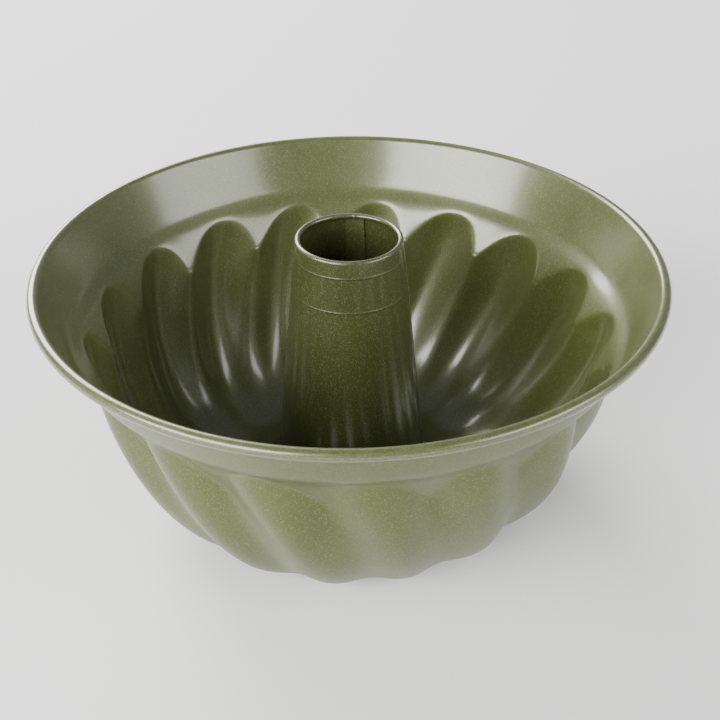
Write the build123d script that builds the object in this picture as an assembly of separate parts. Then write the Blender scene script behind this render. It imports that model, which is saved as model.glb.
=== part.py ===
"""Fluted ring-cake pan: a drawn sheet-steel body with a wired rim, and a rolled centre tube.

Millimetres. +Z is up. The origin is the centre of the resting ring, on the pan's axis.
"""

from math import cos, degrees, hypot, pi, radians, sin, sqrt, tan

from build123d import *
import os

os.makedirs("parts", exist_ok=True)

# --- Overall ---------------------------------------------------------------------------------
RIM_DIAMETER = 220.0          # over the outside of the rolled rim
RIM_HEIGHT = 97.0             # table to the middle of the rolled rim
SHEET = 0.5                   # gauge of the drawn body
TUBE_SHEET = 0.5              # gauge of the rolled tube

# --- Wired rim -------------------------------------------------------------------------------
RIM_ROLL_DIAMETER = 4.0       # over the rolled edge
WIRE_CLEARANCE = 0.10         # roll to wire, all round
RIM_ROLL_END = -148.0         # direction in the roll's section where the sheet ends

# --- Collar, ledge and the cone between the arches -------------------------------------------
COLLAR_DEPTH = 17.5           # middle of the roll down to the collar's foot
COLLAR_ANGLE = 23.5           # collar against the axis
LEDGE_WIDTH = 5.1             # how far the ledge steps in
LEDGE_DROP = 5.0              # and how far it falls
CONE_ANGLE = 27.3             # cone between the arches, against the axis
LEDGE_ROUNDING = 1.3          # softness of the collar-ledge and ledge-cone bends
ARCH_ROUNDING = 0.9           # softness of the bend along each arch

# --- Flutes ----------------------------------------------------------------------------------
FLUTE_COUNT = 17
FLUTE_TOP_DROP = 21.5         # middle of the roll down to the crest of an arch
FLUTE_TOP_INSET = 16.1        # rim's outside to the crest of an arch
FLUTE_FULLNESS = 0.43         # share of the height over which the crest stays steep
FLUTE_LEAN = 0.7              # how far the crest has come in where it starts to curve
FLOOR_FULLNESS = 0.59         # where the floor curve starts, from resting ring to crest
FLUTE_DEPTH = 6.9             # crest to ridge under the arches
FLUTE_ROUNDNESS = 2.1         # power of the cross-section's bulge at the arch: 2 is a parabola
SOFT_FROM = 0.02              # station where the section starts to soften to an even wave
SOFT_BY = 0.30                # and where it has become one
FLUTE_FADE = 0.95             # how late the flutes die out towards the floor
RIDGE_ROUNDING = 0.14         # share of each half flute that the ridge's radius takes
SWIRL_DEGREES = 12.5          # turn of the flutes, arch feet to floor
ARCH_FOOT_DROP = 35.0         # middle of the roll down to the feet of the arches

# --- Floor -----------------------------------------------------------------------------------
RESTING_RING_WIDTH = 7.0      # flat ring that the pan stands on
LAND_HEIGHT = 3.0             # underside of the raised land round the tube, above the table
LAND_MARGIN = 3.15            # land outside the tube's flange
LAND_RISE_WIDTH = 3.0         # sloping wall between resting ring and land

# --- Centre tube -----------------------------------------------------------------------------
TUBE_STANDS_PROUD = 10.3      # top of the tube above the middle of the rim's roll
TUBE_TOP_RADIUS = 18.9        # outside, at the rolled top edge
TUBE_TAPER = 5.75             # degrees, tube wall against the axis
TUBE_ROLL_RADIUS = 1.03       # rolled top edge
TUBE_ROLL_GAP = 60.0          # degrees of the roll that stay open
TUBE_HOLE_CLEARANCE = 0.05    # tube in the body's hole, on the radius
FLANGE_WIDTH = 3.6            # foot of the tube, turned out under the land
BEAD_HEIGHT = 1.8             # swaged bead that holds the land from above
BEAD_PROJECTION = 0.8
SEAM_WIDTH = 7.0              # lap seam down the back of the tube
SEAM_AZIMUTH = 83.0           # degrees from +X to the middle of the seam

# --- Derived ---------------------------------------------------------------------------------
RIM_RADIUS = RIM_DIAMETER / 2
ROLL_RADIUS = RIM_ROLL_DIAMETER / 2
ROLL_CENTRE_RADIUS = RIM_RADIUS - ROLL_RADIUS
ARCH_FOOT_HEIGHT = RIM_HEIGHT - ARCH_FOOT_DROP
FLUTE_TOP_HEIGHT = RIM_HEIGHT - FLUTE_TOP_DROP
FLUTE_TOP_RADIUS = RIM_RADIUS - FLUTE_TOP_INSET
COLLAR_TOP_RADIUS = ROLL_CENTRE_RADIUS - ROLL_RADIUS * cos(radians(COLLAR_ANGLE))
COLLAR_TOP_HEIGHT = RIM_HEIGHT + ROLL_RADIUS * sin(radians(COLLAR_ANGLE))
COLLAR_FOOT_HEIGHT = RIM_HEIGHT - COLLAR_DEPTH
COLLAR_FOOT_RADIUS = (
    COLLAR_TOP_RADIUS - (COLLAR_TOP_HEIGHT - COLLAR_FOOT_HEIGHT) * tan(radians(COLLAR_ANGLE))
)
LEDGE_INNER_RADIUS = COLLAR_FOOT_RADIUS - LEDGE_WIDTH
LEDGE_INNER_HEIGHT = COLLAR_FOOT_HEIGHT - LEDGE_DROP
TUBE_TOP_HEIGHT = RIM_HEIGHT + TUBE_STANDS_PROUD
TUBE_ROLL_HEIGHT = TUBE_TOP_HEIGHT - TUBE_ROLL_RADIUS
LAND_TOP_HEIGHT = LAND_HEIGHT + SHEET
TUBE_FOOT_RADIUS = TUBE_TOP_RADIUS + (TUBE_ROLL_HEIGHT - LAND_TOP_HEIGHT) * tan(radians(TUBE_TAPER))
HOLE_RADIUS = TUBE_FOOT_RADIUS + TUBE_HOLE_CLEARANCE
LAND_OUTER_RADIUS = TUBE_FOOT_RADIUS + FLANGE_WIDTH + LAND_MARGIN
RING_INNER_RADIUS = LAND_OUTER_RADIUS + LAND_RISE_WIDTH
RESTING_RING_RADIUS = RING_INNER_RADIUS + RESTING_RING_WIDTH

# How finely the skins are measured: points across one flute, rows from rim to floor
FLUTE_STEPS = 20
SKIN_ROWS = 130
SKIN_TOLERANCE = 0.00005


def soft_max(a, b, softness):
    """The larger of two lengths, with the corner between them rounded."""
    return (a + b + sqrt((a - b) ** 2 + softness**2)) / 2


def soft_min(a, b, softness):
    """The smaller of two lengths, with the corner between them rounded."""
    return (a + b - sqrt((a - b) ** 2 + softness**2)) / 2


def bezier(p, s):
    """Place and slope of a cubic curve through four control values."""
    t = 1 - s
    place = t**3 * p[0] + 3 * t**2 * s * p[1] + 3 * t * s**2 * p[2] + s**3 * p[3]
    slope = t**2 * (p[1] - p[0]) + 2 * t * s * (p[2] - p[1]) + s**2 * (p[3] - p[2])
    return place, slope


def core_radius(z):
    """Inner radius between the flutes: collar, then ledge, then cone, gone below the arch feet."""
    collar = COLLAR_FOOT_RADIUS + (z - COLLAR_FOOT_HEIGHT) * tan(radians(COLLAR_ANGLE))
    ledge = LEDGE_INNER_RADIUS + (z - LEDGE_INNER_HEIGHT) * LEDGE_WIDTH / LEDGE_DROP
    cone_rise = min(z, COLLAR_FOOT_HEIGHT) - LEDGE_INNER_HEIGHT
    cone = LEDGE_INNER_RADIUS + cone_rise * tan(radians(CONE_ANGLE)) - max(0.0, ARCH_FOOT_HEIGHT - z)
    return soft_max(cone, soft_min(collar, ledge, LEDGE_ROUNDING), LEDGE_ROUNDING)


def crest_line(s):
    """Radius, height and inward normal of a flute's crest line.

    s runs from -1 at the top of the collar to 0 at the top of the arch and 1 at the resting ring.
    """
    if s < 0:
        above = (COLLAR_TOP_HEIGHT - FLUTE_TOP_HEIGHT) * -s
        return FLUTE_TOP_RADIUS, FLUTE_TOP_HEIGHT + above, -1.0, 0.0
    knee_r = RESTING_RING_RADIUS + FLOOR_FULLNESS * (FLUTE_TOP_RADIUS - RESTING_RING_RADIUS)
    radii = (FLUTE_TOP_RADIUS, FLUTE_TOP_RADIUS - FLUTE_LEAN, knee_r, RESTING_RING_RADIUS)
    heights = (FLUTE_TOP_HEIGHT, FLUTE_TOP_HEIGHT * (1 - FLUTE_FULLNESS), SHEET, SHEET)
    (r, dr), (z, dz) = bezier(radii, s), bezier(heights, s)
    length = hypot(dr, dz)
    return r, z, dz / length, -dr / length


def bulge(u, s):
    """Cross-section of a flute, 1 at its crest (u = 0) and 0 on its ridges (u = +-1).

    It is a crisp arch at the top of the flute and softens to an even wave further down.
    """
    edge = 1 - RIDGE_ROUNDING
    slope = FLUTE_ROUNDNESS * edge ** (FLUTE_ROUNDNESS - 1)
    lowest = 1 - edge**FLUTE_ROUNDNESS - slope * RIDGE_ROUNDING / 2
    past = abs(u) - edge
    if past <= 0:
        height = 1 - abs(u) ** FLUTE_ROUNDNESS
    else:
        height = 1 - edge**FLUTE_ROUNDNESS - slope * (past - past**2 / (2 * RIDGE_ROUNDING))
    crisp, wave = (height - lowest) / (1 - lowest), (1 + cos(pi * u)) / 2
    share = min(max((s - SOFT_FROM) / (SOFT_BY - SOFT_FROM), 0.0), 1.0)
    return crisp + (wave - crisp) * share * share * (3 - 2 * share)


def inner_skin(u, s):
    """Point of the face that the cake touches: u across one flute, s from rim to resting ring.

    From s = -2 to -1 the face runs round the outside of the rolled rim.
    """
    if s < -1:
        turn = radians(RIM_ROLL_END + (s + 2) * (180 - COLLAR_ANGLE - RIM_ROLL_END))
        r, z = ROLL_CENTRE_RADIUS + ROLL_RADIUS * cos(turn), RIM_HEIGHT + ROLL_RADIUS * sin(turn)
        twist_height = COLLAR_TOP_HEIGHT
    else:
        crest_r, crest_z, in_r, in_z = crest_line(s)
        sink = FLUTE_DEPTH * (1 - max(s, 0.0) ** FLUTE_FADE) * (1 - bulge(u, s))
        r, z = crest_r + in_r * sink, crest_z + in_z * sink
        r, twist_height = soft_max(core_radius(z), r, ARCH_ROUNDING), z
    azimuth = radians(180 / FLUTE_COUNT * u + SWIRL_DEGREES * (1 - twist_height / ARCH_FOOT_HEIGHT))
    return Vector(r * cos(azimuth), r * sin(azimuth), z)


def outer_skin(u, s):
    """The point of the other face of the sheet, one gauge from inner_skin(u, s)."""
    if s == 1:
        return inner_skin(u, s) - Vector(0, 0, SHEET)
    across = inner_skin(u + 0.01, s) - inner_skin(u - 0.01, s)
    down = inner_skin(u, s + 0.002) - inner_skin(u, max(s - 0.002, -2))
    return inner_skin(u, s) + down.cross(across).normalized() * SHEET


def skin_stations():
    """Stations evenly spaced along the crest line, from the rim to the resting ring."""
    fine = [-2 + i / 500 for i in range(1501)]
    points = [inner_skin(0, s) for s in fine]
    heights_radii = [(hypot(p.X, p.Y), p.Z) for p in points]
    run = [0.0]
    for (r0, z0), (r1, z1) in zip(heights_radii, heights_radii[1:]):
        run.append(run[-1] + hypot(r1 - r0, z1 - z0))
    wanted = [run[-1] * row / SKIN_ROWS for row in range(SKIN_ROWS + 1)]
    return [min(zip(run, fine), key=lambda pair: abs(pair[0] - length))[1] for length in wanted]


def flute_face(skin):
    """One flute of a skin as a smooth face, ridge to ridge, rim to resting ring."""
    across = [-1 + 2 * i / FLUTE_STEPS for i in range(FLUTE_STEPS + 1)]
    grid = [[skin(u, s) for u in across] for s in skin_stations()]
    return Face.make_surface_from_array_of_points(grid, SKIN_TOLERANCE, min_deg=3, max_deg=6)


def end_edge(face, at_floor):
    """The face's edge at the resting ring or at the end of the roll."""
    ends = sorted(face.edges(), key=lambda e: e.center().Z)
    return ends[0] if at_floor else max(ends[1:], key=lambda e: e.bounding_box().min.Z)


def land_profile(gauge):
    """One face of the floor inside the resting ring, from the ring's inner edge to the hole."""
    land = LAND_HEIGHT + gauge
    corners = [(RING_INNER_RADIUS, gauge), (LAND_OUTER_RADIUS, land), (HOLE_RADIUS, land)]
    return Polyline(*[(r, 0, z) for r, z in corners])


def fluted_shell():
    """The drawn body: two skins, the end of the roll, and the floor with its hole."""
    skins = [(flute_face(inner_skin), SHEET), (flute_face(outer_skin), 0.0)]
    roll_end = Face.make_surface_from_curves(*[end_edge(face, False) for face, _ in skins])
    faces = [
        face.rotate(Axis.Z, 360 / FLUTE_COUNT * n)
        for n in range(FLUTE_COUNT)
        for face in (skins[0][0], skins[1][0], roll_end)
    ]
    for face, height in skins:
        edge = end_edge(face, True)
        border = Wire([edge.rotate(Axis.Z, 360 / FLUTE_COUNT * n) for n in range(FLUTE_COUNT)])
        faces.append(Face(border, [Wire.make_circle(RING_INNER_RADIUS, Plane.XY.offset(height))]))
        faces += Shell.revolve(land_profile(height), 360, Axis.Z).faces()
    lip = Line((HOLE_RADIUS, 0, LAND_HEIGHT), (HOLE_RADIUS, 0, LAND_HEIGHT + SHEET))
    faces.append(Face.revolve(lip, 360, Axis.Z))
    return Solid(Shell(faces))


def rim_wire():
    """The round wire that the rim is rolled over."""
    radius = ROLL_RADIUS - SHEET - WIRE_CLEARANCE
    return Solid.make_torus(ROLL_CENTRE_RADIUS, radius, Plane.XY.offset(RIM_HEIGHT))


def tube_outline():
    """The tube's wall in section: flange, swaged bead, tapering wall and rolled top edge."""
    slope = tan(radians(TUBE_TAPER))
    foot_z = LAND_HEIGHT - TUBE_SHEET
    bead_top = LAND_TOP_HEIGHT + BEAD_HEIGHT

    def wall(z, inside):
        radius = TUBE_TOP_RADIUS + (TUBE_ROLL_HEIGHT - z) * slope
        return radius - inside * TUBE_SHEET / cos(radians(TUBE_TAPER))

    bead_reach = TUBE_FOOT_RADIUS + BEAD_PROJECTION
    bead_mid = (LAND_TOP_HEIGHT + bead_top) / 2
    outside = [
        (TUBE_FOOT_RADIUS + FLANGE_WIDTH, foot_z),
        (TUBE_FOOT_RADIUS + FLANGE_WIDTH, LAND_HEIGHT),
        (TUBE_FOOT_RADIUS, LAND_HEIGHT),
        (TUBE_FOOT_RADIUS, LAND_TOP_HEIGHT),
        (bead_reach, LAND_TOP_HEIGHT),
        (bead_reach, bead_mid),
        (wall(bead_top, 0), bead_top),
        (wall(TUBE_ROLL_HEIGHT, 0), TUBE_ROLL_HEIGHT),
    ]
    inside = [
        (wall(TUBE_ROLL_HEIGHT, 1), TUBE_ROLL_HEIGHT),
        (wall(bead_top, 1), bead_top),
        (bead_reach - TUBE_SHEET, bead_mid),
        (TUBE_FOOT_RADIUS - TUBE_SHEET, LAND_HEIGHT),
        (TUBE_FOOT_RADIUS - TUBE_SHEET, foot_z),
    ]
    return make_face(Polyline(*[(r, 0, z) for r, z in outside + inside], close=True))


def tube_roll():
    """Section of the tube's top edge, rolled inwards and left a little open."""
    centre = (TUBE_TOP_RADIUS - TUBE_ROLL_RADIUS, 0, TUBE_ROLL_HEIGHT)
    section = Plane(origin=centre, x_dir=(1, 0, 0), z_dir=(0, -1, 0))
    hoop = Circle(TUBE_ROLL_RADIUS) - Circle(TUBE_ROLL_RADIUS - TUBE_SHEET)
    half = radians(TUBE_ROLL_GAP / 2)
    reach = 3 * TUBE_ROLL_RADIUS
    middle = radians(-TUBE_ROLL_GAP / 2 - 8)
    opening = make_face(
        Polyline(
            (0, 0),
            (reach * cos(middle - half), reach * sin(middle - half)),
            (reach * cos(middle + half), reach * sin(middle + half)),
            close=True,
        )
    )
    return section * (hoop - opening)


def tube_seam():
    """The second thickness of sheet where the tube's edges lap, inside the bore."""
    slope = tan(radians(TUBE_TAPER))
    low, high = LAND_TOP_HEIGHT + 2 * BEAD_HEIGHT, TUBE_ROLL_HEIGHT - 2 * TUBE_ROLL_RADIUS
    wall = TUBE_SHEET / cos(radians(TUBE_TAPER))

    def radius(z, depth):
        return TUBE_TOP_RADIUS + (TUBE_ROLL_HEIGHT - z) * slope - depth * wall

    corners = [(radius(low, 0.8), low), (radius(high, 0.8), high), (radius(high, 2), high), (radius(low, 2), low)]
    strip = make_face(Polyline(*[(r, 0, z) for r, z in corners], close=True))
    turn = degrees(SEAM_WIDTH / TUBE_TOP_RADIUS)
    return revolve(strip, Axis.Z, turn).rotate(Axis.Z, SEAM_AZIMUTH - turn / 2)


def centre_tube():
    """The rolled tube: wall, rolled top edge, lap seam, and a foot that grips the land."""
    return revolve(tube_outline(), Axis.Z) + revolve(tube_roll(), Axis.Z) + tube_seam()


PARTS = {"fluted_shell": fluted_shell(), "rim_wire": rim_wire(), "centre_tube": centre_tube()}

for name, shape in PARTS.items():
    export_step(shape, f"parts/{name}.step")
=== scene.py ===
"""Ring-cake pan: a fluted drawn body with a rolled rim, and a rolled centre tube.

Millimetres while a piece is shaped, metres once it is an object. +Z up, the pan standing on
its resting ring at the origin.
"""

from __future__ import annotations

import logging
import math
from dataclasses import dataclass, field
from enum import Enum

import bmesh
import bpy
from mathutils import Matrix, Vector


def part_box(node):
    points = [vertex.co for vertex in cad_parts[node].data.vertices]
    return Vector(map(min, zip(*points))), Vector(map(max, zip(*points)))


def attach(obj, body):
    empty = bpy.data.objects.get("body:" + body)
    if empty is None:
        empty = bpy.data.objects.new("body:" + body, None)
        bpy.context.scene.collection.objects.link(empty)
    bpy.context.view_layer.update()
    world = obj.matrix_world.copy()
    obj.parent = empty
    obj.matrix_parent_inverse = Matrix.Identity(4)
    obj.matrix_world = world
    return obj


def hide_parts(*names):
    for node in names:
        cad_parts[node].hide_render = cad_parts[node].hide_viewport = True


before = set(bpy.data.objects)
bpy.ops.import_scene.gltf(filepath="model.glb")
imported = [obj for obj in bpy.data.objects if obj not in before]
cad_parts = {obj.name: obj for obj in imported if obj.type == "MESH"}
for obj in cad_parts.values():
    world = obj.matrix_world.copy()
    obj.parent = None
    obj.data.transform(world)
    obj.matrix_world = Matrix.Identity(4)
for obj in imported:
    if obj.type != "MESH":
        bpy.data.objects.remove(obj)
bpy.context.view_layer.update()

LOG = logging.getLogger("ring_cake_pan")
MM = 0.001

Rgba = tuple[float, float, float, float]
Section = list[tuple[float, float]]


# --- Shaping helpers -------------------------------------------------------------------------


def soft_max(a: float, b: float, softness: float) -> float:
    """The larger of two lengths, with the corner between them rounded."""
    return (a + b + math.sqrt((a - b) ** 2 + softness**2)) / 2


def soft_min(a: float, b: float, softness: float) -> float:
    """The smaller of two lengths, with the corner between them rounded."""
    return (a + b - math.sqrt((a - b) ** 2 + softness**2)) / 2


def smooth_step(low: float, high: float, value: float) -> float:
    """0 below low, 1 above high, and a smooth rise between them."""
    t = min(max((value - low) / (high - low), 0.0), 1.0)
    return t * t * (3 - 2 * t)


def cubic(p: tuple[float, float, float, float], s: float) -> tuple[float, float]:
    """Place and slope of a cubic curve through four control values.

    Args:
        p: The four control values.
        s: Station on the curve, 0 to 1.

    Returns:
        The place and the slope there.
    """
    t = 1 - s
    place = t**3 * p[0] + 3 * t**2 * s * p[1] + 3 * t * s**2 * p[2] + s**3 * p[3]
    slope = t**2 * (p[1] - p[0]) + 2 * t * s * (p[2] - p[1]) + s**2 * (p[3] - p[2])
    return place, slope


def spread(low: float, high: float, count: int, ease: bool = False) -> list[float]:
    """Stations from low up to, but not at, high.

    Args:
        low: The first station.
        high: The end of the stretch.
        count: How many stations.
        ease: Whether the stations crowd towards both ends.

    Returns:
        The stations, in order.
    """
    steps = [i / count for i in range(count)]
    if ease:
        steps = [(1 - math.cos(math.pi * t)) / 2 for t in steps]
    return [low + (high - low) * t for t in steps]


def spin_section(bm: bmesh.types.BMesh, verts: list[bmesh.types.BMVert], steps: int) -> None:
    """Joins points into an open section and turns it once round the Z axis.

    Args:
        bm: The mesh that holds the points.
        verts: Points of the section in the XZ plane, in order.
        steps: Number of steps in the full turn.
    """
    for a, b in zip(verts, verts[1:]):
        bm.edges.new((a, b))
    bmesh.ops.spin(
        bm,
        geom=bm.verts[:] + bm.edges[:],
        cent=(0, 0, 0),
        axis=(0, 0, 1),
        angle=2 * math.pi,
        steps=steps,
        use_merge=True,
    )
    bmesh.ops.remove_doubles(bm, verts=bm.verts, dist=1e-5)


def face_towards_axis(bm: bmesh.types.BMesh, inward: bool) -> None:
    """Makes a sheet's normals consistent and turned the way that is wanted.

    Args:
        bm: An open sheet round the Z axis.
        inward: True if its faces are to look towards the axis.
    """
    bmesh.ops.recalc_face_normals(bm, faces=bm.faces)
    lean = sum(f.normal.xy.dot(f.calc_center_median().xy) for f in bm.faces)
    if (lean < 0) != inward:
        bmesh.ops.reverse_faces(bm, faces=bm.faces)


def finish_piece(bm: bmesh.types.BMesh, name: str, material: bpy.types.Material) -> bpy.types.Object:
    """Makes a smooth-shaded object, in metres, of a mesh in millimetres.

    Args:
        bm: The finished mesh, which is freed.
        name: Name of the piece.
        material: Its finish.

    Returns:
        The new object, at the origin.
    """
    bmesh.ops.transform(bm, matrix=Matrix.Scale(MM, 4), verts=bm.verts)
    mesh = bpy.data.meshes.new(name)
    bm.to_mesh(mesh)
    bm.free()
    mesh.polygons.foreach_set("use_smooth", [True] * len(mesh.polygons))
    mesh.materials.append(material)
    piece = bpy.data.objects.new(name, mesh)
    bpy.context.scene.collection.objects.link(piece)
    return piece


# --- Node helpers ----------------------------------------------------------------------------


def add_node(tree: bpy.types.NodeTree, kind: str, **settings: object) -> bpy.types.Node:
    """Adds a node and gives it its settings.

    Args:
        tree: The tree it goes in.
        kind: The node's type name.
        settings: Properties by name, or input values by socket name with _ for a space.

    Returns:
        The new node.
    """
    node = tree.nodes.new(kind)
    for key, value in settings.items():
        if hasattr(node, key):
            setattr(node, key, value)
        else:
            node.inputs[key.replace("_", " ")].default_value = value
    return node


def new_group(name: str, inputs: dict[str, float], outputs: dict[str, str]) -> bpy.types.NodeTree:
    """Makes an empty shader node group with named sockets.

    Args:
        name: Name of the group.
        inputs: Float inputs and their values; a Vector input is always added.
        outputs: Outputs and their socket types.

    Returns:
        The group, with a Group Input and a Group Output node named In and Out.
    """
    tree = bpy.data.node_groups.new(name, "ShaderNodeTree")
    tree.interface.new_socket(name="Vector", in_out="INPUT", socket_type="NodeSocketVector")
    for socket, value in inputs.items():
        tree.interface.new_socket(
            name=socket, in_out="INPUT", socket_type="NodeSocketFloat"
        ).default_value = value
    for socket, kind in outputs.items():
        tree.interface.new_socket(name=socket, in_out="OUTPUT", socket_type=kind)
    tree.nodes.new("NodeGroupInput").name = "In"
    tree.nodes.new("NodeGroupOutput").name = "Out"
    return tree


class Effect(Enum):
    """The shared surface effects, each a node group that is built once."""

    # Real flake tilt, with painted glints on a few grains.
    FLAKE = "Metallic flake with painted glints"
    MOTTLE = "Coating mottle"
    # Wear and a painted highlight on the tops of the rolls.
    RUB_AND_HIGHLIGHT = "Rubbed edge and painted highlight"
    PEEL = "Sprayed coat texture"


def build_flake() -> bpy.types.NodeTree:
    """Fine flake: every grain tilts the surface its own way, and a few grains are painted lighter as painted
    glints.

    Returns:
        The group, with Size, Tilt and Share in, Normal and Painted glint out.
    """
    tree = new_group(
        Effect.FLAKE.value,
        {"Grains per metre": 2600.0, "Tilt": 0.1, "Share": 0.12},
        {"Normal": "NodeSocketVector", "Painted glint": "NodeSocketFloat"},
    )
    link, source, out = tree.links.new, tree.nodes["In"], tree.nodes["Out"]
    cells = add_node(tree, "ShaderNodeTexVoronoi", feature="F1")
    link(source.outputs["Vector"], cells.inputs["Vector"])
    link(source.outputs["Grains per metre"], cells.inputs["Scale"])
    centre = add_node(tree, "ShaderNodeVectorMath", operation="SUBTRACT")
    centre.inputs[1].default_value = (0.5, 0.5, 0.5)
    link(cells.outputs["Color"], centre.inputs[0])
    tilt = add_node(tree, "ShaderNodeVectorMath", operation="SCALE")
    link(centre.outputs[0], tilt.inputs[0])
    link(source.outputs["Tilt"], tilt.inputs["Scale"])
    surface = add_node(tree, "ShaderNodeNewGeometry")
    total = add_node(tree, "ShaderNodeVectorMath", operation="ADD")
    link(surface.outputs["Normal"], total.inputs[0])
    link(tilt.outputs[0], total.inputs[1])
    unit = add_node(tree, "ShaderNodeVectorMath", operation="NORMALIZE")
    link(total.outputs[0], unit.inputs[0])
    link(unit.outputs[0], out.inputs["Normal"])
    grey = add_node(tree, "ShaderNodeSeparateColor")
    link(cells.outputs["Color"], grey.inputs[0])
    flip = add_node(tree, "ShaderNodeMath", operation="SUBTRACT")
    flip.inputs[0].default_value = 1.0
    link(source.outputs["Share"], flip.inputs[1])
    # Grains past the threshold get the painted glint colour, a painted highlight.
    painted_glint = add_node(tree, "ShaderNodeMath", operation="GREATER_THAN")
    link(grey.outputs[0], painted_glint.inputs[0])
    link(flip.outputs[0], painted_glint.inputs[1])
    link(painted_glint.outputs[0], out.inputs["Painted glint"])
    return tree


def build_noise_group(
    effect: Effect, scale: float, detail: float, low: float, high: float
) -> bpy.types.NodeTree:
    """A noise whose middle range is stretched over 0 to 1.

    Args:
        effect: Which effect the group is for.
        scale: Size of the pattern, in cycles per metre.
        detail: Octaves of finer noise.
        low: Noise value that becomes 0.
        high: Noise value that becomes 1.

    Returns:
        The group, with Cycles per metre and Amount in and Value out.
    """
    tree = new_group(
        effect.value, {"Cycles per metre": scale, "Amount": 1.0}, {"Value": "NodeSocketFloat"}
    )
    link, source, out = tree.links.new, tree.nodes["In"], tree.nodes["Out"]
    noise = add_node(tree, "ShaderNodeTexNoise", Detail=detail, Roughness=0.55)
    link(source.outputs["Vector"], noise.inputs["Vector"])
    link(source.outputs["Cycles per metre"], noise.inputs["Scale"])
    ramp = add_node(tree, "ShaderNodeMapRange", From_Min=low, From_Max=high)
    link(noise.outputs[0], ramp.inputs["Value"])
    scaled = add_node(tree, "ShaderNodeMath", operation="MULTIPLY")
    link(ramp.outputs[0], scaled.inputs[0])
    link(source.outputs["Amount"], scaled.inputs[1])
    link(scaled.outputs[0], out.inputs["Value"])
    return tree


def build_rub_and_highlight() -> bpy.types.NodeTree:
    """Wear where a hand or a knife rubs, and a painted highlight on the same rolled tops: the piece's own rub
    value, broken up by noise.

    Returns:
        The group, with Amount in and Mask out.
    """
    tree = new_group(Effect.RUB_AND_HIGHLIGHT.value, {"Amount": 0.5}, {"Mask": "NodeSocketFloat"})
    link, source, out = tree.links.new, tree.nodes["In"], tree.nodes["Out"]
    rub_and_highlight = add_node(tree, "ShaderNodeAttribute", attribute_name="rub_and_highlight")
    noise = add_node(tree, "ShaderNodeTexNoise", Scale=420.0, Detail=5.0, Roughness=0.6)
    link(source.outputs["Vector"], noise.inputs["Vector"])
    patch = add_node(tree, "ShaderNodeMapRange", From_Min=0.42, From_Max=0.66)
    link(noise.outputs[0], patch.inputs["Value"])
    where = add_node(tree, "ShaderNodeMath", operation="MULTIPLY")
    link(rub_and_highlight.outputs["Fac"], where.inputs[0])
    link(patch.outputs[0], where.inputs[1])
    mask = add_node(tree, "ShaderNodeMath", operation="MULTIPLY")
    link(where.outputs[0], mask.inputs[0])
    link(source.outputs["Amount"], mask.inputs[1])
    link(mask.outputs[0], out.inputs["Mask"])
    return tree


def effect_group(effect: Effect) -> bpy.types.NodeTree:
    """The node group of an effect, built the first time it is asked for.

    Args:
        effect: Which effect.

    Returns:
        Its node group.
    """
    if effect.value in bpy.data.node_groups:
        return bpy.data.node_groups[effect.value]
    if effect is Effect.FLAKE:
        return build_flake()
    if effect is Effect.RUB_AND_HIGHLIGHT:
        return build_rub_and_highlight()
    if effect is Effect.MOTTLE:
        return build_noise_group(effect, 55.0, 4.0, 0.32, 0.68)
    return build_noise_group(effect, 900.0, 3.0, 0.3, 0.7)


# --- Finishes --------------------------------------------------------------------------------


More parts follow.
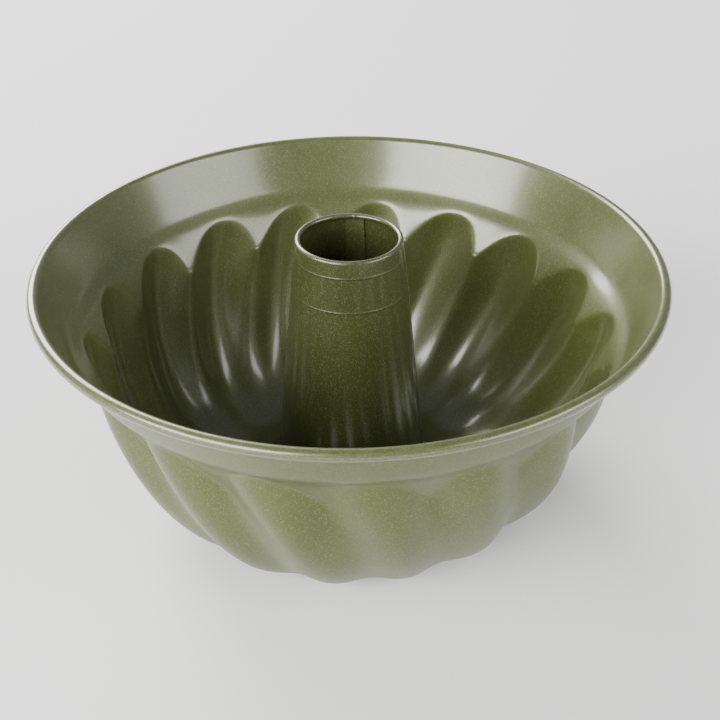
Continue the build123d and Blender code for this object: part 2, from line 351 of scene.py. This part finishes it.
@dataclass(frozen=True)
class FlakeCoat:
    """Satin olive non-stick coating with fine metallic flake, sprayed on steel."""

    name: str
    colour: Rgba
    thin_colour: Rgba
    # The glint colour is a painted highlight on a few flake grains.
    painted_glint_colour: Rgba
    # The rubbed colour is partly wear and partly a painted highlight on the rolled tops.
    worn_and_highlit_colour: Rgba
    metallic: float = 0.3
    roughness: float = 0.42
    roughness_swing: float = 0.06
    coat: float = 1.0
    coat_roughness: float = 0.19
    coat_ior: float = 1.55
    grains: float = 4200.0
    tilt: float = 0.07
    share: float = 0.1
    peel_depth: float = 0.004 * MM
    # How strongly the rolled tops are painted lighter, as wear and a painted highlight.
    rub_and_highlight: float = 0.3

    def place(
        self, tree: bpy.types.NodeTree, effect: Effect, vector: bpy.types.NodeSocket, **values: float
    ) -> bpy.types.Node:
        """Places an effect in the material with this finish's own values.

        Args:
            tree: The material's tree.
            effect: Which effect.
            vector: Where on the piece it is.
            values: Input values by name, with _ for a space.

        Returns:
            The group node.
        """
        node = add_node(tree, "ShaderNodeGroup", node_tree=effect_group(effect))
        for key, value in values.items():
            node.inputs[key.replace("_", " ")].default_value = value
        tree.links.new(vector, node.inputs["Vector"])
        return node

    def mix(
        self, tree: bpy.types.NodeTree, mask: bpy.types.NodeSocket, low: object, high: object
    ) -> bpy.types.NodeSocket:
        """Mixes two colours by a mask.

        Args:
            tree: The material's tree.
            mask: 0 for the first colour, 1 for the second.
            low: The first colour, or the socket that gives it.
            high: The second colour.

        Returns:
            The mixed colour.
        """
        node = add_node(tree, "ShaderNodeMix", data_type="RGBA")
        tree.links.new(mask, node.inputs[0])
        for socket, value in ((node.inputs[6], low), (node.inputs[7], high)):
            if isinstance(value, bpy.types.NodeSocket):
                tree.links.new(value, socket)
            else:
                socket.default_value = value
        return node.outputs[2]

    def material(self) -> bpy.types.Material:
        """Builds the coating.

        Returns:
            The material.
        """
        material = bpy.data.materials.new(self.name)
        material.use_nodes = True
        tree = material.node_tree
        link = tree.links.new
        shader = tree.nodes["Principled BSDF"]
        shader.inputs["Metallic"].default_value = self.metallic
        shader.inputs["Coat Weight"].default_value = self.coat
        shader.inputs["Coat Roughness"].default_value = self.coat_roughness
        shader.inputs["Coat IOR"].default_value = self.coat_ior
        where = add_node(tree, "ShaderNodeTexCoord").outputs["Object"]
        flake = self.place(
            tree, Effect.FLAKE, where, Grains_per_metre=self.grains, Tilt=self.tilt, Share=self.share
        )
        mottle = self.place(tree, Effect.MOTTLE, where, Amount=1.0)
        peel = self.place(tree, Effect.PEEL, where, Amount=1.0)
        rub_and_highlight = self.place(tree, Effect.RUB_AND_HIGHLIGHT, where, Amount=self.rub_and_highlight)
        base = self.mix(tree, mottle.outputs["Value"], self.colour, self.thin_colour)
        # A few random grains painted lighter: painted glints.
        with_painted_glints = self.mix(tree, flake.outputs["Painted glint"], base, self.painted_glint_colour)
        # The rolled tops painted lighter: partly wear, partly a painted highlight.
        worn_and_highlit = self.mix(tree, rub_and_highlight.outputs["Mask"], with_painted_glints, self.worn_and_highlit_colour)
        link(worn_and_highlit, shader.inputs["Base Color"])
        rough = add_node(
            tree,
            "ShaderNodeMapRange",
            To_Min=self.roughness - self.roughness_swing / 2,
            To_Max=self.roughness + self.roughness_swing / 2,
        )
        link(mottle.outputs["Value"], rough.inputs["Value"])
        link(rough.outputs[0], shader.inputs["Roughness"])
        bump = add_node(tree, "ShaderNodeBump", Distance=self.peel_depth)
        link(peel.outputs["Value"], bump.inputs["Height"])
        link(flake.outputs["Normal"], bump.inputs["Normal"])
        link(bump.outputs["Normal"], shader.inputs["Normal"])
        return material


@dataclass(frozen=True)
class DrawnWire:
    """Bright steel wire with fine marks along its length from the drawing die."""

    name: str = "drawn_steel_wire"
    colour: Rgba = (0.5, 0.5, 0.49, 1.0)
    dull_colour: Rgba = (0.33, 0.33, 0.32, 1.0)
    roughness: float = 0.3

    def material(self) -> bpy.types.Material:
        """Builds the bare steel.

        Returns:
            The material.
        """
        material = bpy.data.materials.new(self.name)
        material.use_nodes = True
        tree = material.node_tree
        shader = tree.nodes["Principled BSDF"]
        shader.inputs["Metallic"].default_value = 1.0
        where = add_node(tree, "ShaderNodeTexCoord").outputs["Object"]
        marks = add_node(tree, "ShaderNodeTexNoise", Scale=1800.0, Detail=3.0)
        squeeze = add_node(tree, "ShaderNodeMapping")
        squeeze.inputs["Scale"].default_value = (0.1, 0.1, 1.0)
        tree.links.new(where, squeeze.inputs["Vector"])
        tree.links.new(squeeze.outputs[0], marks.inputs["Vector"])
        ramp = add_node(tree, "ShaderNodeValToRGB")
        ramp.color_ramp.elements[0].color = self.dull_colour
        ramp.color_ramp.elements[1].color = self.colour
        tree.links.new(marks.outputs[0], ramp.inputs[0])
        tree.links.new(ramp.outputs[0], shader.inputs["Base Color"])
        rough = add_node(tree, "ShaderNodeMapRange", To_Min=self.roughness, To_Max=self.roughness + 0.15)
        tree.links.new(marks.outputs[0], rough.inputs["Value"])
        tree.links.new(rough.outputs[0], shader.inputs["Roughness"])
        return material


# Each coat's glint colour is a painted highlight on a few grains.
# Each coat's rubbed colour is wear and a painted highlight on the rolled tops.
BODY_COAT = FlakeCoat(
    name="olive_flake_coating",
    colour=(0.064, 0.077, 0.0165, 1.0),
    thin_colour=(0.076, 0.090, 0.0220, 1.0),
    painted_glint_colour=(0.13, 0.145, 0.06, 1.0),
    worn_and_highlit_colour=(0.15, 0.16, 0.08, 1.0),
)
OUTSIDE_COAT = FlakeCoat(
    name="olive_lacquer_outside",
    colour=(0.078, 0.094, 0.026, 1.0),
    thin_colour=(0.090, 0.107, 0.032, 1.0),
    painted_glint_colour=(0.16, 0.18, 0.075, 1.0),
    worn_and_highlit_colour=(0.18, 0.20, 0.10, 1.0),
    metallic=0.5,
    roughness=0.38,
    coat=0.12,
    coat_roughness=0.3,
)
TUBE_COAT = FlakeCoat(
    name="olive_flake_coating_tube",
    colour=(0.040, 0.050, 0.0105, 1.0),
    thin_colour=(0.048, 0.058, 0.0135, 1.0),
    painted_glint_colour=(0.11, 0.125, 0.05, 1.0),
    worn_and_highlit_colour=(0.14, 0.15, 0.075, 1.0),
    roughness=0.44,
)


# --- The drawn body --------------------------------------------------------------------------


@dataclass
class FlutedBody:
    """The drawn body: rolled rim, collar, ledge, arches, swirled flutes and raised floor."""

    material: bpy.types.Material
    outside_material: bpy.types.Material
    rim_radius: float
    rim_top: float
    roll_radius: float = 2.0
    roll_end: float = -148.0
    sheet: float = 0.5
    collar_depth: float = 17.5
    collar_angle: float = 23.5
    ledge_width: float = 5.1
    ledge_drop: float = 5.0
    cone_angle: float = 27.3
    ledge_rounding: float = 1.3
    arch_rounding: float = 0.9
    flute_count: int = 17
    flute_top_drop: float = 21.5
    flute_top_inset: float = 16.1
    flute_fullness: float = 0.43
    flute_lean: float = 0.7
    floor_fullness: float = 0.59
    flute_depth: float = 6.9
    flute_roundness: float = 2.1
    soft_from: float = 0.02
    soft_by: float = 0.30
    flute_fade: float = 0.95
    ridge_rounding: float = 0.14
    swirl_degrees: float = 12.5
    arch_foot_drop: float = 35.0
    ring_outer: float = 46.0
    ring_inner: float = 39.0
    land_outer: float = 36.0
    land_underside: float = 3.0
    hole_radius: float = 29.3
    steps_per_flute: int = 22
    ridge_crowding: float = 0.4
    arch_reach: tuple[float, float, float] = (-0.06, 0.06, 0.2)
    crease_stations: dict[int, float] = field(default_factory=dict)

    def __post_init__(self) -> None:
        """Works out the sizes that follow from the others."""
        self.roll_height = self.rim_top - self.roll_radius
        self.roll_centre = self.rim_radius - self.roll_radius
        lean = math.radians(self.collar_angle)
        self.collar_top_r = self.roll_centre - self.roll_radius * math.cos(lean)
        self.collar_top_z = self.roll_height + self.roll_radius * math.sin(lean)
        self.collar_foot_z = self.roll_height - self.collar_depth
        self.collar_foot_r = self.collar_top_r - (self.collar_top_z - self.collar_foot_z) * math.tan(lean)
        self.ledge_r = self.collar_foot_r - self.ledge_width
        self.ledge_z = self.collar_foot_z - self.ledge_drop
        self.arch_foot_z = self.roll_height - self.arch_foot_drop
        self.flute_top_z = self.roll_height - self.flute_top_drop
        self.flute_top_r = self.rim_radius - self.flute_top_inset

    def core_radius(self, z: float) -> float:
        """Radius between the flutes: collar, then ledge, then cone, gone below the arch feet."""
        collar = self.collar_foot_r + (z - self.collar_foot_z) * math.tan(math.radians(self.collar_angle))
        ledge = self.ledge_r + (z - self.ledge_z) * self.ledge_width / self.ledge_drop
        rise = min(z, self.collar_foot_z) - self.ledge_z
        cone = self.ledge_r + rise * math.tan(math.radians(self.cone_angle))
        cone -= max(0.0, self.arch_foot_z - z)
        return soft_max(cone, soft_min(collar, ledge, self.ledge_rounding), self.ledge_rounding)

    def crest(self, s: float) -> tuple[float, float, float, float]:
        """A flute's crest line, from -1 at the collar's top to 0 at the arch's and 1 at the ring.

        Args:
            s: Station on the line.

        Returns:
            Radius, height, and the two parts of the inward normal.
        """
        if s < 0:
            return self.flute_top_r, self.flute_top_z + (self.collar_top_z - self.flute_top_z) * -s, -1.0, 0.0
        knee = self.ring_outer + self.floor_fullness * (self.flute_top_r - self.ring_outer)
        r, dr = cubic((self.flute_top_r, self.flute_top_r - self.flute_lean, knee, self.ring_outer), s)
        z, dz = cubic(
            (self.flute_top_z, self.flute_top_z * (1 - self.flute_fullness), self.sheet, self.sheet), s
        )
        length = math.hypot(dr, dz)
        return r, z, dz / length, -dr / length

    def bulge(self, u: float, s: float) -> float:
        """Cross-section of a flute: a crisp arch at its top that softens to an even wave.

        Args:
            u: Place across the flute, 0 at its crest and 1 or -1 on its ridges.
            s: Station down the flute.

        Returns:
            1 at the crest, 0 on the ridges.
        """
        edge = 1 - self.ridge_rounding
        slope = self.flute_roundness * edge ** (self.flute_roundness - 1)
        lowest = 1 - edge**self.flute_roundness - slope * self.ridge_rounding / 2
        past = abs(u) - edge
        if past <= 0:
            height = 1 - abs(u) ** self.flute_roundness
        else:
            bend = past - past**2 / (2 * self.ridge_rounding)
            height = 1 - edge**self.flute_roundness - slope * bend
        crisp, wave = (height - lowest) / (1 - lowest), (1 + math.cos(math.pi * u)) / 2
        return crisp + (wave - crisp) * smooth_step(self.soft_from, self.soft_by, s)

    def flute(self, u: float, s: float) -> tuple[float, float]:
        """Radius and height of the bare flute at u across it and station s."""
        crest_r, crest_z, in_r, in_z = self.crest(s)
        sink = self.flute_depth * (1 - max(s, 0.0) ** self.flute_fade) * (1 - self.bulge(u, s))
        return crest_r + in_r * sink, crest_z + in_z * sink

    def crease_station(self, u: float) -> float:
        """Station where the flute breaks out of the cone between the arches."""
        key = round(abs(u) * 1e6)
        if key not in self.crease_stations:
            low, high = 0.0, self.arch_reach[2]
            for _ in range(40):
                middle = (low + high) / 2
                r, z = self.flute(u, middle)
                low, high = (low, middle) if r > self.core_radius(z) else (middle, high)
            self.crease_stations[key] = low
        return self.crease_stations[key]

    def skin_point(self, u: float, row: float) -> Vector:
        """Point of the face that the cake touches, before it is turned to its own flute.

        Args:
            u: Place across the flute, -1 to 1.
            row: Row of the mesh, as a station. Rows near an arch are bent to lie along it.

        Returns:
            The point.
        """
        top, middle, foot = self.arch_reach
        s = row
        if top < row < foot:
            crease = self.crease_station(u)
            if row < middle:
                s = top + (row - top) / (middle - top) * (crease - top)
            else:
                s = crease + (row - middle) / (foot - middle) * (foot - crease)
        if s < -1:
            turn = math.radians(self.roll_end + (s + 2) * (180 - self.collar_angle - self.roll_end))
            r = self.roll_centre + self.roll_radius * math.cos(turn)
            z = self.roll_height + self.roll_radius * math.sin(turn)
            twist_z = self.collar_top_z
        else:
            r, z = self.flute(u, s)
            r, twist_z = soft_max(self.core_radius(z), r, self.arch_rounding), z
        swirl = self.swirl_degrees * (1 - twist_z / self.arch_foot_z)
        azimuth = math.radians(180 / self.flute_count * u + swirl)
        return Vector((r * math.cos(azimuth), r * math.sin(azimuth), z))

    def rows(self) -> list[float]:
        """Stations of the mesh's rows, closest together at the bends."""
        top, middle, foot = self.arch_reach
        return (
            spread(-2.0, -1.0, 18)
            + spread(-1.0, -0.86, 4)
            + spread(-0.86, -0.28, 7)
            + spread(-0.28, top, 14)
            + spread(top, middle, 14, ease=True)
            + spread(middle, foot, 14, ease=True)
            + spread(foot, 1.0, 46)
            + [1.0]
        )

    def build(self) -> bpy.types.Object:
        """Spins, flutes, swirls and thickens the body.

        Returns:
            The finished piece.
        """
        bm = bmesh.new()
        station = bm.verts.layers.float.new("station")
        verts = []
        for row in self.rows():
            point = self.skin_point(0.0, row)
            verts.append(bm.verts.new((math.hypot(point.x, point.y), 0, point.z)))
            verts[-1][station] = row
        land = self.land_underside + self.sheet
        flats = [(self.ring_outer - 3.5, self.sheet), (self.ring_inner + 0.5, self.sheet)]
        flats += [(self.ring_inner - 0.3, self.sheet + 0.3), (self.land_outer + 0.3, land - 0.3)]
        flats += [(self.land_outer - 0.5, land), (self.hole_radius + 2, land), (self.hole_radius, land)]
        for r, z in flats:
            verts.append(bm.verts.new((r, 0, z)))
            verts[-1][station] = 2.0
        spin_section(bm, verts, self.flute_count * self.steps_per_flute)
        pitch = 2 * math.pi / self.flute_count
        floor_turn = Matrix.Rotation(math.radians(self.swirl_degrees), 3, "Z")
        for vert in bm.verts:
            if vert[station] > 1.5:
                vert.co = floor_turn @ vert.co
                continue
            azimuth = math.atan2(vert.co.y, vert.co.x)
            flute = round(azimuth / pitch)
            even = (azimuth / pitch - flute) * 2
            u = even + self.ridge_crowding * math.sin(math.pi * even) / math.pi
            vert.co = Matrix.Rotation(flute * pitch, 3, "Z") @ self.skin_point(u, vert[station])
        face_towards_axis(bm, inward=True)
        inside = len(bm.faces)
        bmesh.ops.solidify(bm, geom=bm.faces[:], thickness=self.sheet)
        bm.faces.ensure_lookup_table()
        for face in bm.faces[inside:]:
            face.material_index = 1
        self.mark_rub_and_highlight(bm)
        piece = finish_piece(bm, "fluted_body", self.material)
        piece.data.materials.append(self.outside_material)
        return piece

    def mark_rub_and_highlight(self, bm: bmesh.types.BMesh) -> None:
        """Gives the top of the rim's roll the rub value that the wear and the painted highlight follow."""
        rub_and_highlight = bm.verts.layers.float.new("rub_and_highlight")
        for vert in bm.verts:
            # Lighter towards the top of the roll: wear and a painted highlight.
            vert[rub_and_highlight] = smooth_step(self.rim_top - 2.2, self.rim_top, vert.co.z)


# --- The rolled tube -------------------------------------------------------------------------


@dataclass
class CentreTube:
    """The rolled tube: flanged foot, swaged bead, tapering wall, lap seam and rolled top edge."""

    material: bpy.types.Material
    top: float
    top_radius: float = 18.9
    taper: float = 5.75
    roll_radius: float = 1.03
    roll_sweep: float = 300.0
    sheet: float = 0.5
    land_underside: float = 3.0
    flange: float = 3.6
    bead_height: float = 1.8
    bead_projection: float = 0.8
    seam_azimuth: float = 83.0
    seam_width: float = 7.0
    steps: int = 176
    line_heights: tuple[float, float] = (101.2, 88.6)
    line_width: float = 0.28
    line_relief: float = 0.1
    line_half_angle: float = 68.0
    facet_depth: float = 0.011
    facet_start: tuple[float, float] = (8.0, 16.0)
    facet_clearance: float = 6.0
    facet_fading: float = 8.0

    def wall(self, z: float) -> float:
        """Outside radius of the tapering wall at a height."""
        return self.top_radius + (self.top - self.roll_radius - z) * math.tan(math.radians(self.taper))

    def heights(self) -> list[float]:
        """Heights of the wall's rows, close together where the raised lines cross."""
        low, high = self.land_underside + self.sheet + self.bead_height, self.top - self.roll_radius - 0.9
        plain = [low + (high - low) * i / 40 for i in range(1, 41)]
        fine = [line + self.line_width * i / 3 for line in self.line_heights for i in range(-6, 7)]
        keep = [z for z in plain if all(abs(z - line) > 2.6 * self.line_width for line in self.line_heights)]
        return sorted(keep + fine)

    def section(self) -> Section:
        """Outside face of the tube in section, from the flange's edge to the end of the roll."""
        land = self.land_underside + self.sheet
        foot = self.wall(land)
        bead = foot + self.bead_projection
        points = [(foot + self.flange, self.land_underside), (foot + 0.5, self.land_underside)]
        points += [(foot + 0.1, self.land_underside + 0.12), (foot, self.land_underside + 0.35), (foot, land)]
        points += [(bead - 0.15, land + 0.05), (bead, land + 0.35), (bead - 0.1, land + 0.8)]
        points += [(self.wall(z), z) for z in self.heights()]
        count = 26
        for i in range(count + 1):
            turn = math.radians(self.roll_sweep * i / count)
            r = self.top_radius - self.roll_radius + self.roll_radius * math.cos(turn)
            points.append((r, self.top - self.roll_radius + self.roll_radius * math.sin(turn)))
        return points

    def relief(self, azimuth: float, z: float) -> float:
        """How far the wall stands out: raised lines across the front, faint facets all round.

        Args:
            azimuth: Direction from the axis, in radians.
            z: Height.

        Returns:
            The distance, in millimetres.
        """
        off_front = abs((math.degrees(azimuth) + 90 + 180) % 360 - 180)
        reach = 1 - smooth_step(self.line_half_angle - 3, self.line_half_angle, off_front)
        lines = sum(math.exp(-(((z - line) / self.line_width) ** 2)) for line in self.line_heights)
        facets = math.sin(19 * azimuth + 0.6) + 0.6 * math.sin(31 * azimuth + 2.1)
        facets_end = min(self.line_heights) - self.facet_clearance
        going = smooth_step(facets_end - self.facet_fading, facets_end, z)
        fade = smooth_step(*self.facet_start, z) * (1 - going)
        return self.line_relief * reach * lines + self.facet_depth * facets * fade

    def build(self) -> list[bpy.types.Object]:
        """Builds the tube and the inner leaf of its lap seam.

        Returns:
            The two pieces.
        """
        bm = bmesh.new()
        verts = [bm.verts.new((r, 0, z)) for r, z in self.section()]
        spin_section(bm, verts, self.steps)
        bead_top = self.land_underside + self.sheet + self.bead_height
        crimp_from, crimp_to = math.radians(self.seam_azimuth - 5), math.radians(self.seam_azimuth + 5)
        for vert in bm.verts:
            azimuth = math.atan2(vert.co.y, vert.co.x)
            outward = Vector((math.cos(azimuth), math.sin(azimuth), 0))
            if bead_top < vert.co.z < self.top - 2 * self.roll_radius:
                vert.co += outward * self.relief(azimuth, vert.co.z)
            elif vert.co.z >= self.top - 2 * self.roll_radius and crimp_from < azimuth < crimp_to:
                ripple = math.sin((azimuth - crimp_from) / (crimp_to - crimp_from) * 3 * math.pi)
                vert.co += outward * 0.12 * ripple
        face_towards_axis(bm, inward=False)
        bmesh.ops.solidify(bm, geom=bm.faces[:], thickness=self.sheet)
        # The top of the tube's roll gets the same wear and painted highlight.
        rub_and_highlight = bm.verts.layers.float.new("rub_and_highlight")
        for vert in bm.verts:
            vert[rub_and_highlight] = smooth_step(self.top - 1.2, self.top, vert.co.z)
        return [finish_piece(bm, "tube_wall", self.material), self.seam()]

    def seam(self) -> bpy.types.Object:
        """Builds the second thickness of sheet where the tube's edges lap, inside the bore.

        Returns:
            The finished piece.
        """
        bm = bmesh.new()
        low, high = self.land_underside + 4, self.top - 2 * self.roll_radius - 0.1
        half = math.degrees(self.seam_width / 2 / self.top_radius)
        depth = self.sheet * 1.02
        verts = [bm.verts.new((self.wall(z) - depth, 0, z)) for z in (low, (low + high) / 2, high)]
        for a, b in zip(verts, verts[1:]):
            bm.edges.new((a, b))
        turn = Matrix.Rotation(math.radians(self.seam_azimuth - half), 4, "Z")
        bmesh.ops.transform(bm, matrix=turn, verts=bm.verts)
        bmesh.ops.spin(
            bm,
            geom=bm.verts[:] + bm.edges[:],
            cent=(0, 0, 0),
            axis=(0, 0, 1),
            angle=math.radians(2 * half),
            steps=14,
        )
        face_towards_axis(bm, inward=False)
        bmesh.ops.solidify(bm, geom=bm.faces[:], thickness=self.sheet * 0.9)
        bmesh.ops.recalc_face_normals(bm, faces=bm.faces)
        sharp = [e for e in bm.edges if len(e.link_faces) == 2 and e.calc_face_angle(0) > 0.8]
        bmesh.ops.bevel(
            bm,
            geom=sharp,
            offset=0.08,
            offset_type="OFFSET",
            segments=2,
            profile=0.5,
            affect="EDGES",
            material=-1,
        )
        return finish_piece(bm, "tube_lap_seam", self.material)


# --- The studio ------------------------------------------------------------------------------


@dataclass(frozen=True)
class Softbox:
    """One soft rectangular lamp, aimed at a point over the pan."""

    name: str
    place: tuple[float, float, float]
    aim: tuple[float, float, float]
    size: tuple[float, float]
    power: float
    colour: tuple[float, float, float] = (1.0, 1.0, 1.0)

    def hang(self) -> None:
        """Puts the lamp in the scene."""
        data = bpy.data.lights.new(self.name, "AREA")
        data.shape = "RECTANGLE"
        data.size, data.size_y = self.size
        data.energy = self.power
        data.color = self.colour
        lamp = bpy.data.objects.new(self.name, data)
        lamp.location = self.place
        aim = Vector(self.aim) - Vector(self.place)
        lamp.rotation_euler = aim.to_track_quat("-Z", "Y").to_euler()
        bpy.context.scene.collection.objects.link(lamp)


@dataclass
class Studio:
    """Pale floor, soft light and the camera."""

    floor_size: float = 6.0
    floor_colour: Rgba = (0.9, 0.9, 0.895, 1.0)
    ceiling_colour: Rgba = (0.32, 0.325, 0.33, 1.0)
    wall_colour: Rgba = (0.36, 0.37, 0.38, 1.0)
    room_strength: float = 1.0
    camera_place: tuple[float, float, float] = (0.0, -0.3527, 0.2910)
    camera_pitch: float = 33.66
    camera_yaw: float = 0.57
    camera_roll: float = -0.35
    lens: float = 57.36
    softboxes: tuple[Softbox, ...] = (
        Softbox("window_left_front", (-1.32, -1.23, 0.92), (0, 0, 0.05), (1.95, 1.0), 96.0),
        Softbox("window_left_back", (-0.9, 1.56, 1.12), (0, 0, 0.05), (1.3, 1.15), 72.0),
        Softbox("window_right", (1.6, -0.82, 0.85), (0, 0, 0.05), (1.55, 0.95), 30.0),
    )

    def lay_floor(self) -> None:
        """Lays the floor that the pan stands on."""
        bm = bmesh.new()
        bmesh.ops.create_grid(bm, x_segments=2, y_segments=2, size=self.floor_size / 2)
        mesh = bpy.data.meshes.new("floor")
        bm.to_mesh(mesh)
        bm.free()
        material = bpy.data.materials.new("pale_floor")
        material.use_nodes = True
        shader = material.node_tree.nodes["Principled BSDF"]
        shader.inputs["Base Color"].default_value = self.floor_colour
        shader.inputs["Roughness"].default_value = 0.9
        mesh.materials.append(material)
        floor = bpy.data.objects.new("floor", mesh)
        bpy.context.scene.collection.objects.link(floor)

    def light(self) -> None:
        """Hangs the softboxes and gives the room its own soft light."""
        world = bpy.data.worlds.new("studio")
        world.use_nodes = True
        tree = world.node_tree
        background = tree.nodes["Background"]
        background.inputs["Strength"].default_value = self.room_strength
        height = add_node(tree, "ShaderNodeSeparateXYZ")
        tree.links.new(add_node(tree, "ShaderNodeTexCoord").outputs["Generated"], height.inputs[0])
        ramp = add_node(tree, "ShaderNodeValToRGB")
        ramp.color_ramp.elements[0].position = 0.15
        ramp.color_ramp.elements[0].color = self.wall_colour
        ramp.color_ramp.elements[1].position = 0.75
        ramp.color_ramp.elements[1].color = self.ceiling_colour
        tree.links.new(height.outputs["Z"], ramp.inputs[0])
        tree.links.new(ramp.outputs[0], background.inputs["Color"])
        bpy.context.scene.world = world
        for softbox in self.softboxes:
            softbox.hang()

    def aim_camera(self) -> None:
        """Sets up the camera in front of the pan, looking down into it."""
        data = bpy.data.cameras.new("camera")
        data.lens = self.lens
        data.sensor_width = 36.0
        data.clip_start = 0.01
        camera = bpy.data.objects.new("camera", data)
        pitch, yaw, roll = (math.radians(a) for a in (self.camera_pitch, self.camera_yaw, self.camera_roll))
        turn = (
            Matrix.Rotation(-yaw, 4, "Z")
            @ Matrix.Rotation(math.pi / 2 - pitch, 4, "X")
            @ Matrix.Rotation(roll, 4, "Z")
        )
        camera.matrix_world = Matrix.Translation(self.camera_place) @ turn
        bpy.context.scene.collection.objects.link(camera)
        bpy.context.scene.camera = camera


# --- The pan ---------------------------------------------------------------------------------


def report(piece: bpy.types.Object) -> None:
    """Logs a piece's name and how many faces it has."""
    LOG.info("%s: %d faces", piece.name, len(piece.data.polygons))


def main() -> None:
    """Builds the pan piece by piece, then the studio round it."""
    logging.basicConfig(level=logging.INFO, format="%(name)s: %(message)s")
    _, shell_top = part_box("fluted_shell")
    _, tube_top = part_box("centre_tube")

    body = FlutedBody(
        BODY_COAT.material(),
        OUTSIDE_COAT.material(),
        rim_radius=round(shell_top.x / MM, 1),
        rim_top=round(shell_top.z / MM, 1),
    ).build()
    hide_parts("fluted_shell")
    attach(body, "root")
    report(body)

    for piece in CentreTube(TUBE_COAT.material(), round(tube_top.z / MM, 1)).build():
        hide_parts("centre_tube")
        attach(piece, "root")
        report(piece)

    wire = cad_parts["rim_wire"]
    wire.data.materials.clear()
    wire.data.materials.append(DrawnWire().material())
    report(wire)

    studio = Studio()
    studio.lay_floor()
    studio.light()
    studio.aim_camera()


if __name__ == "__main__":
    main()
